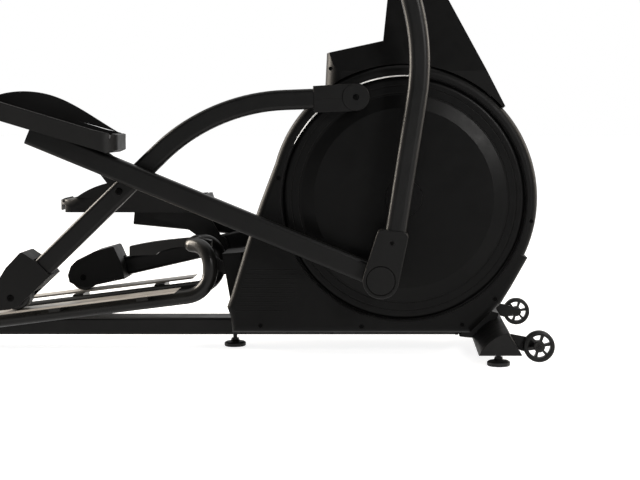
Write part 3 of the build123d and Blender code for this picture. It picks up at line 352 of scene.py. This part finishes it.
def hex_recess_bolt(radius, height, recess):
    """Button-head bolt whose head grows along local y, with a hexagon socket."""

    def make(bm):
        segments = 36
        rings = []
        outline = [(radius, 0.0), (radius, height * 0.45), (radius * 0.93, height * 0.75), (radius * 0.72, height)]
        for r, along in outline:
            rings.append([bm.verts.new((r * cos(2 * pi * k / segments), along, r * sin(2 * pi * k / segments)))
                          for k in range(segments)])
        for along in (height, height * 0.35):
            hexagon = []
            for k in range(segments):
                angle = 2 * pi * k / segments
                sector = angle % (pi / 3) - pi / 6
                r = recess * cos(pi / 6) / cos(sector)
                hexagon.append(bm.verts.new((r * cos(angle), along, r * sin(angle))))
            rings.append(hexagon)
        for lower, upper in zip(rings, rings[1:]):
            for k in range(segments):
                bm.faces.new((lower[k], lower[(k + 1) % segments], upper[(k + 1) % segments], upper[k]))
        bm.faces.new(rings[-1])
        bm.faces.new(list(reversed(rings[0])))

    return make


def revolved(bm, profile, segments=72):
    """Adds a closed ring about local y whose cross-section is the closed loop of (radius, y) points."""
    loops = [
        [bm.verts.new((r * cos(2 * pi * k / segments), along, r * sin(2 * pi * k / segments))) for k in range(segments)]
        for r, along in profile
    ]
    for i, lower in enumerate(loops):
        upper = loops[(i + 1) % len(loops)]
        for k in range(segments):
            j = (k + 1) % segments
            bm.faces.new((lower[k], lower[j], upper[j], upper[k]))


def shadow_ring(inner, outer, depth):
    """Maker of a thin flat ring round local y, from 0 to depth, laid as a painted shadow line."""
    profile = [(inner, 0.0), (outer, 0.0), (outer, depth), (inner, depth)]
    return lambda bm: revolved(bm, profile, 64)


def facing(s, spot):
    """Placement at spot whose local y points outward on side s."""
    turn = Matrix.Identity(4) if s > 0 else Matrix.Rotation(pi, 4, "Z")
    return Matrix.Translation(spot) @ turn


def bolt(name, s, spot, body, radius=0.0075, height=0.003, recess=0.0034):
    return add_piece(name, hex_recess_bolt(radius, height, recess), materials["screw_steel"], body,
                     matrix=facing(s, spot))


# ---------------------------------------------------------------- housing details
SKIRT_EDGE = [(-396, 140), (-359, 265)]
RIB_COUNT = 10
RIB_CREST = 150.5  # from the middle
COVER_FACE, SHROUD_FACE = 149.6, 146.6  # where the screws' heads sit, from the middle
SHROUD_SCREWS = [(-168, 658), (78, 646)]
SMALL_SCREW = (0.0046, 0.0016, 0.002)  # radius, height and socket
RIB_LOW, RIB_PITCH = 104.0, 10.4
for side, s in SIDES.items():
    for k in range(RIB_COUNT):
        z = RIB_LOW + k * RIB_PITCH
        (x_a, z_a), (x_b, z_b) = SKIRT_EDGE
        rear = x_a + (z - z_a) * (x_b - x_a) / (z_b - z_a) + 19
        front = -252.0 + 3.0 * k - 0.35 * (k - 5) ** 2

        def rib(bm, rear=rear, front=front, z=z, s=s):
            outline = [(rear, z - 1.5), (front - 30, z - 1.3), (front + 8, z), (front - 30, z + 1.3), (rear, z + 1.5)]
            base = [bm.verts.new(from_crank(x, h, s * COVER_FACE)) for x, h in outline]
            crest = [bm.verts.new(from_crank(x + (1.0 if i in (0, 4) else -2.0), z + (h - z) * 0.45, s * RIB_CREST))
                     for i, (x, h) in enumerate(outline)]
            count = len(base)
            for i in range(count):
                bm.faces.new((base[i], base[(i + 1) % count], crest[(i + 1) % count], crest[i]))
            bm.faces.new(crest)
            bm.faces.new(list(reversed(base)))

        add_piece(f"{side}_cover_rib_{k + 1}", rib, materials["cover_plastic"], "frame", 20)
    bolt(f"{side}_ring_screw_1", s, from_crank(292, 309, s * COVER_FACE), "frame", *SMALL_SCREW)
    for k, (x, z) in enumerate(SHROUD_SCREWS):
        bolt(f"{side}_shroud_screw_{k + 1}", s, from_crank(x, z, s * SHROUD_FACE), "frame", *SMALL_SCREW)

# ---------------------------------------------------------------- bolts, caps and painted shadow rings of the linkage
CRANK_ANGLE = radians(115.3)
CRANK_RADIUS = 0.254
crank_flat = Vector((crank.x, 0, crank.z))


def crank_pin(s):
    """The crank pin's place in the side view: the two cranks are half a turn apart."""
    return crank_flat - s * CRANK_RADIUS * Vector((cos(CRANK_ANGLE), 0, sin(CRANK_ANGLE)))


def swing_frame(side, s):
    return SideFrame(swing_pivot, bearing(swing_pivot, joint_at[f"{side}_pedal_hinge"]), s * 0.257)


for side, s in SIDES.items():
    pivot = joint_at[f"{side}_roller_arm_hinge"]
    joint = joint_at[f"{side}_pedal_hinge"]
    roller = joint_at[f"{side}_roller_spin"]
    bolt(f"{side}_pivot_bolt", s, Vector((pivot.x, s * 0.1928, pivot.z)), f"{side}_roller_link", 0.0085, 0.003, 0.0038)
    for end, y in (("outer", 0.1983), ("inner", 0.1031)):
        grow = s if end == "outer" else -s
        bolt(f"{side}_roller_bolt_{end}", grow, Vector((roller.x, s * y, roller.z)), f"{side}_roller_link",
             0.0078, 0.003, 0.0036)

    bolt(f"{side}_pin_bolt", s, Vector((0, s * 0.1942, 0)) + crank_pin(s), f"{side}_roller_link", 0.0066, 0.0028, 0.003)
    # painted shadow: thin dark rings round the crank pin's cap and in the groove of the swing joint cover
    add_piece(f"{side}_pin_cap_painted_shadow", shadow_ring(0.0306, 0.0316, 0.0003), materials["screw_steel"],
              f"{side}_roller_link", matrix=facing(s, Vector((0, s * 0.1953, 0)) + crank_pin(s)))
    swing = swing_frame(side, s)
    add_piece(f"{side}_swing_cap_painted_shadow", shadow_ring(0.0308, 0.0326, 0.0006), materials["screw_steel"],
              f"{side}_swing", matrix=facing(s, Vector((joint.x, s * 0.2763, joint.z))))
    bolt(f"{side}_swing_cover_screw", s, swing.at(0.881, 0.026, s * 0.0199), f"{side}_swing", 0.0042, 0.0014, 0.0018)
    add_piece(f"{side}_swing_hub_cap", lathe([(0, 0), (0.0235, 0), (0.0235, 0.0014), (0.021, 0.0034), (0, 0.0048)]),
              materials["cap_plastic"], f"{side}_swing", bevel=0.0004,
              matrix=facing(s, swing.at(0, 0, s * 0.0195)))

# ---------------------------------------------------------------- transport wheels with their windows
def windowed_wheel(bm):
    """Tyre with rolled shoulders, hub and six spokes between them."""
    revolved(bm, [(0.0248, -0.0095), (0.0264, -0.011), (0.0305, -0.011), (0.0334, -0.0093), (0.0343, -0.006),
                  (0.0343, 0.006), (0.0334, 0.0093), (0.0305, 0.011), (0.0264, 0.011), (0.0248, 0.0095)])
    revolved(bm, [(0.0051, -0.011), (0.0105, -0.011), (0.0125, -0.009), (0.0125, 0.009), (0.0105, 0.011),
                  (0.0051, 0.011)])
    for k in range(6):
        angle = radians(12 + 60 * k)
        along = Vector((cos(angle), 0, sin(angle)))
        across = Vector((-sin(angle), 0, cos(angle)))
        corners = [
            bm.verts.new(along * r + across * w + Vector((0, y, 0)))
            for r, half in ((0.012, 0.0022), (0.0252, 0.0032)) for w, y in
            ((-half, -0.0075), (half, -0.0075), (half, 0.0075), (-half, 0.0075))
        ]
        for i in range(4):
            j = (i + 1) % 4
            bm.faces.new((corners[i], corners[j], corners[j + 4], corners[i + 4]))
        bm.faces.new(corners[:4])
        bm.faces.new(list(reversed(corners[4:])))


for side, s in SIDES.items():
    wheel = add_piece(f"{side}_windowed_wheel", windowed_wheel, nodes[f"{side}_transport_wheel"].data.materials[0],
                      f"{side}_wheel", matrix=Matrix.Translation(joint_at[f"{side}_wheel_spin"]))
    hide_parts(f"{side}_transport_wheel")

# ---------------------------------------------------------------- painted highlight: pale strip in the gap over each disc's rim
STRIP_FROM, STRIP_SWEEP = 84, 70  # degrees, from straight ahead
STRIP_R = 0.2804
STRIP_INNER_Y, STRIP_OUTER_Y = 0.1395, 0.1412
for side, s in SIDES.items():

    def strip(bm, s=s):
        steps = 56
        sections = []
        for k in range(steps + 1):
            t = k / steps
            angle = radians(STRIP_FROM + STRIP_SWEEP * t)
            half = 0.0004 + 0.0023 * min(1.0, 4.0 * t, 4.0 * (1 - t)) ** 0.7
            sections.append([
                bm.verts.new(crank_flat + Vector((r * cos(angle), s * y, r * sin(angle))))
                for r, y in ((STRIP_R - half, STRIP_INNER_Y), (STRIP_R + half, STRIP_INNER_Y),
                             (STRIP_R + half, STRIP_OUTER_Y), (STRIP_R - half, STRIP_OUTER_Y))
            ])
        for first, second in zip(sections, sections[1:]):
            for i in range(4):
                bm.faces.new((first[i], first[(i + 1) % 4], second[(i + 1) % 4], second[i]))
        bm.faces.new(sections[0])
        bm.faces.new(list(reversed(sections[-1])))

    # painted highlight: a pale strip standing in for light caught along part of each disc's rim
    add_piece(f"{side}_disc_rim_highlight", strip, materials["rim_highlight_paint"], "frame", 30)

# ---------------------------------------------------------------- foam grips and pedal mats
def sleeve(a, b, radius, crown=0.0006, segments=40, rows=48):
    """Maker of a closed foam sleeve from a to b: crowned, with rolled ends and fine rings near them."""
    axis = (b - a).normalized()
    across = axis.cross(Vector((0, 1, 0))).normalized()
    up = axis.cross(across)
    length = (b - a).length

    def make(bm):
        rings = []
        for k in range(rows + 1):
            t = k / rows
            along = length * t
            inset = min(along, length - along)
            r = radius + crown * sin(pi * t)
            roll = 0.006
            if inset < roll:
                r -= roll - (roll * roll - (roll - inset) ** 2) ** 0.5
            if 0.008 < inset < 0.026:
                r -= 0.0007 * (0.5 + 0.5 * cos(2 * pi * (inset - 0.008) / 0.0045))
            centre = a + axis * along
            rings.append([
                bm.verts.new(centre + across * r * cos(2 * pi * i / segments) + up * r * sin(2 * pi * i / segments))
                for i in range(segments)
            ])
        for lower, upper in zip(rings, rings[1:]):
            for i in range(segments):
                j = (i + 1) % segments
                bm.faces.new((lower[i], lower[j], upper[j], upper[i]))
        bm.faces.new(rings[-1])
        bm.faces.new(list(reversed(rings[0])))

    return make


def foam_grip(name, a, b, radius, body, node=None):
    grip = add_piece(name, sleeve(a, b, radius, rows=140), materials["grip_foam"], body, 60)
    if node:
        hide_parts(node)


def pedal_mat(side, s):
    """Moulded mat: rounded corners, raised lip and lengthwise ridges that fade out at the ends."""
    pivot = joint_at[f"{side}_roller_arm_hinge"]
    joint = joint_at[f"{side}_pedal_hinge"]
    bar = bearing(pivot, joint) - radians(4.306)
    seat = SideFrame(joint + turned(-0.648, 0.032, bar), bar + radians(5.6), s * 0.194)
    back, front, half, corner = -0.368, -0.022, 0.068, 0.02
    rows, columns = 70, 96

    def make(bm):
        top, base = [], []
        for k in range(rows + 1):
            t = 0.5 - 0.5 * cos(pi * k / rows)
            u = back + (front - back) * t
            inset = min(u - back, front - u)
            pull = corner - (corner * corner - (corner - inset) ** 2) ** 0.5 if inset < corner else 0.0
            width = half - pull
            line, under = [], []
            for i in range(columns + 1):
                w = width * (2 * i / columns - 1)
                rim = min(width - abs(w), inset)
                fade = max(0.0, min(1.0, (rim - 0.007) / 0.006))
                ridge = 0.5 + 0.5 * cos(2 * pi * w / 0.0105)
                v = 0.0308 + 0.0012 * ridge * fade + 0.001 * max(0.0, 1 - abs(rim - 0.004) / 0.003)
                v -= 0.0016 * max(0.0, 1 - rim / 0.0018)
                line.append(bm.verts.new(seat.at(u, v, w)))
                under.append(bm.verts.new(seat.at(u, 0.0252, w)))
            top.append(line)
            base.append(under)
        for k in range(rows):
            for i in range(columns):
                bm.faces.new((top[k][i], top[k][i + 1], top[k + 1][i + 1], top[k + 1][i]))
                bm.faces.new((base[k][i], base[k + 1][i], base[k + 1][i + 1], base[k][i + 1]))
            for i in (0, columns):
                bm.faces.new((top[k][i], top[k + 1][i], base[k + 1][i], base[k][i]))
        for k in (0, rows):
            for i in range(columns):
                bm.faces.new((top[k][i], base[k][i], base[k][i + 1], top[k][i + 1]))

    mat = add_piece(f"{side}_pedal_mat", make, materials["pad_rubber"], f"{side}_pedal_link", 50)
    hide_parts(f"{side}_pedal_pad")


GRIP_LOW, GRIP_HIGH = (-0.300, -0.1189), (-0.462, -0.1297)  # along and above the swing arm, from its pivot
for side, s in SIDES.items():
    swing = swing_frame(side, s)
    foam_grip(f"{side}_foam_grip", swing.at(*GRIP_LOW), swing.at(*GRIP_HIGH), 0.0203,
              f"{side}_swing", f"{side}_handle_grip")
    pedal_mat(side, s)
    foam_grip(f"{side}_fixed_grip", from_crank(-346, 1260.5, s * 150), from_crank(-379, 1318, s * 150), 0.0172, "frame")
    for k, (x_a, x_b) in enumerate(((-300, -214), (-208, -150))):
        z_a, z_b = (1205 + (x + 90.3) / (-340 + 90.3) * 45 for x in (x_a, x_b))
        add_piece(f"{side}_pulse_plate_{k + 1}",
                  sleeve(from_crank(x_a, z_a, s * 150), from_crank(x_b, z_b, s * 150), 0.0147, 0.0, rows=24),
                  materials["steel"], "frame", 40)

# ---------------------------------------------------------------- console face
console_face = SideFrame(from_crank(-167.6, 1331.0, 0), radians(128), 0.0)


def panel(u, w, size_u, size_w, height, corner):
    """Maker of a low pad with rounded corners on the console's face."""

    def make(bm):
        outline = []
        for quarter, (side_u, side_w) in enumerate(((1, 1), (-1, 1), (-1, -1), (1, -1))):
            for k in range(7):
                angle = pi / 2 * (quarter + k / 6)
                outline.append((u + side_u * (size_u / 2 - corner) + corner * cos(angle),
                                w + side_w * (size_w / 2 - corner) + corner * sin(angle)))
        rings = []
        for v, inset in ((0.0334, 0.0), (0.0334 + height * 0.6, 0.0), (0.0334 + height, height * 0.5)):
            rings.append([
                bm.verts.new(console_face.at(u + (a - u) * (1 - 2 * inset / size_u), v,
                                             w + (b - w) * (1 - 2 * inset / size_w)))
                for a, b in outline
            ])
        count = len(outline)
        for lower, upper in zip(rings, rings[1:]):
            for i in range(count):
                j = (i + 1) % count
                bm.faces.new((lower[i], lower[j], upper[j], upper[i]))
        bm.faces.new(rings[-1])
        bm.faces.new(list(reversed(rings[0])))

    return make


add_piece("console_screen", panel(0.048, 0.0, 0.104, 0.19, 0.0012, 0.006), materials["display_glass"], "frame",
          30)
for k in range(7):
    add_piece(f"console_key_{k + 1}", panel(-0.028, -0.114 + 0.038 * k, 0.013, 0.026, 0.0016, 0.004),
              materials["key_rubber"], "frame", 30)
for k, w in enumerate((-0.125, 0.125)):
    for j, u in enumerate((0.024, 0.048, 0.072)):
        add_piece(f"console_side_key_{3 * k + j + 1}", panel(u, w, 0.015, 0.022, 0.0016, 0.004),
                  materials["key_rubber"], "frame", 30)
add_piece("console_start_key", panel(-0.054, 0.0, 0.018, 0.05, 0.0018, 0.006), materials["start_key"], "frame",
          30)

# ---------------------------------------------------------------- floor, light and camera
def build_stage():
    """Pale floor that runs out past the view."""
    mesh = bpy.data.meshes.new("floor")
    half = 40.0
    mesh.from_pydata([(-half, -half, 0), (half, -half, 0), (half, half, 0), (-half, half, 0)], [], [(0, 1, 2, 3)])
    floor = bpy.data.objects.new("floor", mesh)
    bpy.context.scene.collection.objects.link(floor)
    material, tree, shader = new_material("floor_white")
    tree.links.new(ramp(tree, noise(tree, 1.5), (0.36, 0.36, 0.36), (0.38, 0.38, 0.38)), shader.inputs["Base Color"])
    shader.inputs["Roughness"].default_value = 0.75
    shader.inputs["Specular IOR Level"].default_value = 0.2
    shader.inputs["Emission Color"].default_value = (1, 1, 1, 1)
    shader.inputs["Emission Strength"].default_value = 0.86
    mesh.materials.append(material)


def build_world():
    """White studio: bright behind and above the machine, dimmer on the camera's side."""
    world = bpy.data.worlds.new("studio")
    bpy.context.scene.world = world
    world.use_nodes = True
    tree = world.node_tree
    background = tree.nodes["Background"]
    coords = add_node(tree, "ShaderNodeTexCoord")
    split = add_node(tree, "ShaderNodeSeparateXYZ")
    tree.links.new(coords.outputs["Generated"], split.inputs["Vector"])
    front_to_back = add_node(tree, "ShaderNodeMapRange",
                             {"From Min": -0.75, "From Max": 0.55, "To Min": 0.2, "To Max": 0.9})
    tree.links.new(split.outputs["Y"], front_to_back.inputs["Value"])
    seen = add_node(tree, "ShaderNodeLightPath")
    strength = add_node(tree, "ShaderNodeMix", data_type="FLOAT")
    tree.links.new(seen.outputs["Is Camera Ray"], strength.inputs["Factor"])
    tree.links.new(front_to_back.outputs["Result"], strength.inputs["A"])
    strength.inputs["B"].default_value = 1.0
    tree.links.new(strength.outputs["Result"], background.inputs["Strength"])
    background.inputs["Color"].default_value = (1, 1, 1, 1)


def area_light(name, place, target, size, power, colour=(1, 1, 1)):
    data = bpy.data.lights.new(name, "AREA")
    data.shape = "RECTANGLE"
    data.size, data.size_y = size
    data.energy = power
    data.color = colour
    lamp = bpy.data.objects.new(name, data)
    lamp.location = place
    lamp.rotation_euler = (Vector(target) - Vector(place)).to_track_quat("-Z", "Y").to_euler()
    bpy.context.scene.collection.objects.link(lamp)


def build_camera():
    """Level camera well out on the machine's right side, a little above the crank axis."""
    data = bpy.data.cameras.new("camera")
    data.sensor_width = 36.0
    data.lens = 76.2
    data.shift_x = -0.1125
    data.shift_y = -0.186
    data.clip_end = 200
    camera = bpy.data.objects.new("camera", data)
    camera.location = (crank.x - 0.0274, -3.246, 0.538)
    camera.rotation_euler = (radians(90), 0, 0)
    bpy.context.scene.collection.objects.link(camera)
    bpy.context.scene.camera = camera


build_stage()
build_world()
area_light("top_soft", (0.3, 0.4, 3.6), (0.2, 0, 0.4), (4.5, 3.0), 55, (1, 0.98, 0.95))
area_light("left_warm", (-3.0, 0.9, 1.5), (0.2, 0, 0.5), (1.4, 2.4), 420, (1, 0.9, 0.78))
area_light("right_warm", (4.0, 0.9, 1.5), (0.6, 0, 0.5), (1.4, 2.4), 190, (1, 0.9, 0.78))
area_light("right_high", (3.6, -0.7, 2.7), (0.6, -0.1, 0.5), (0.9, 0.9), 45, (1, 0.94, 0.86))
area_light("front_right", (1.95, -2.7, 1.5), (0.7, 0, 0.5), (0.6, 0.6), 60, (1, 0.98, 0.96))
build_camera()
bpy.context.scene.view_settings.view_transform = "Standard"
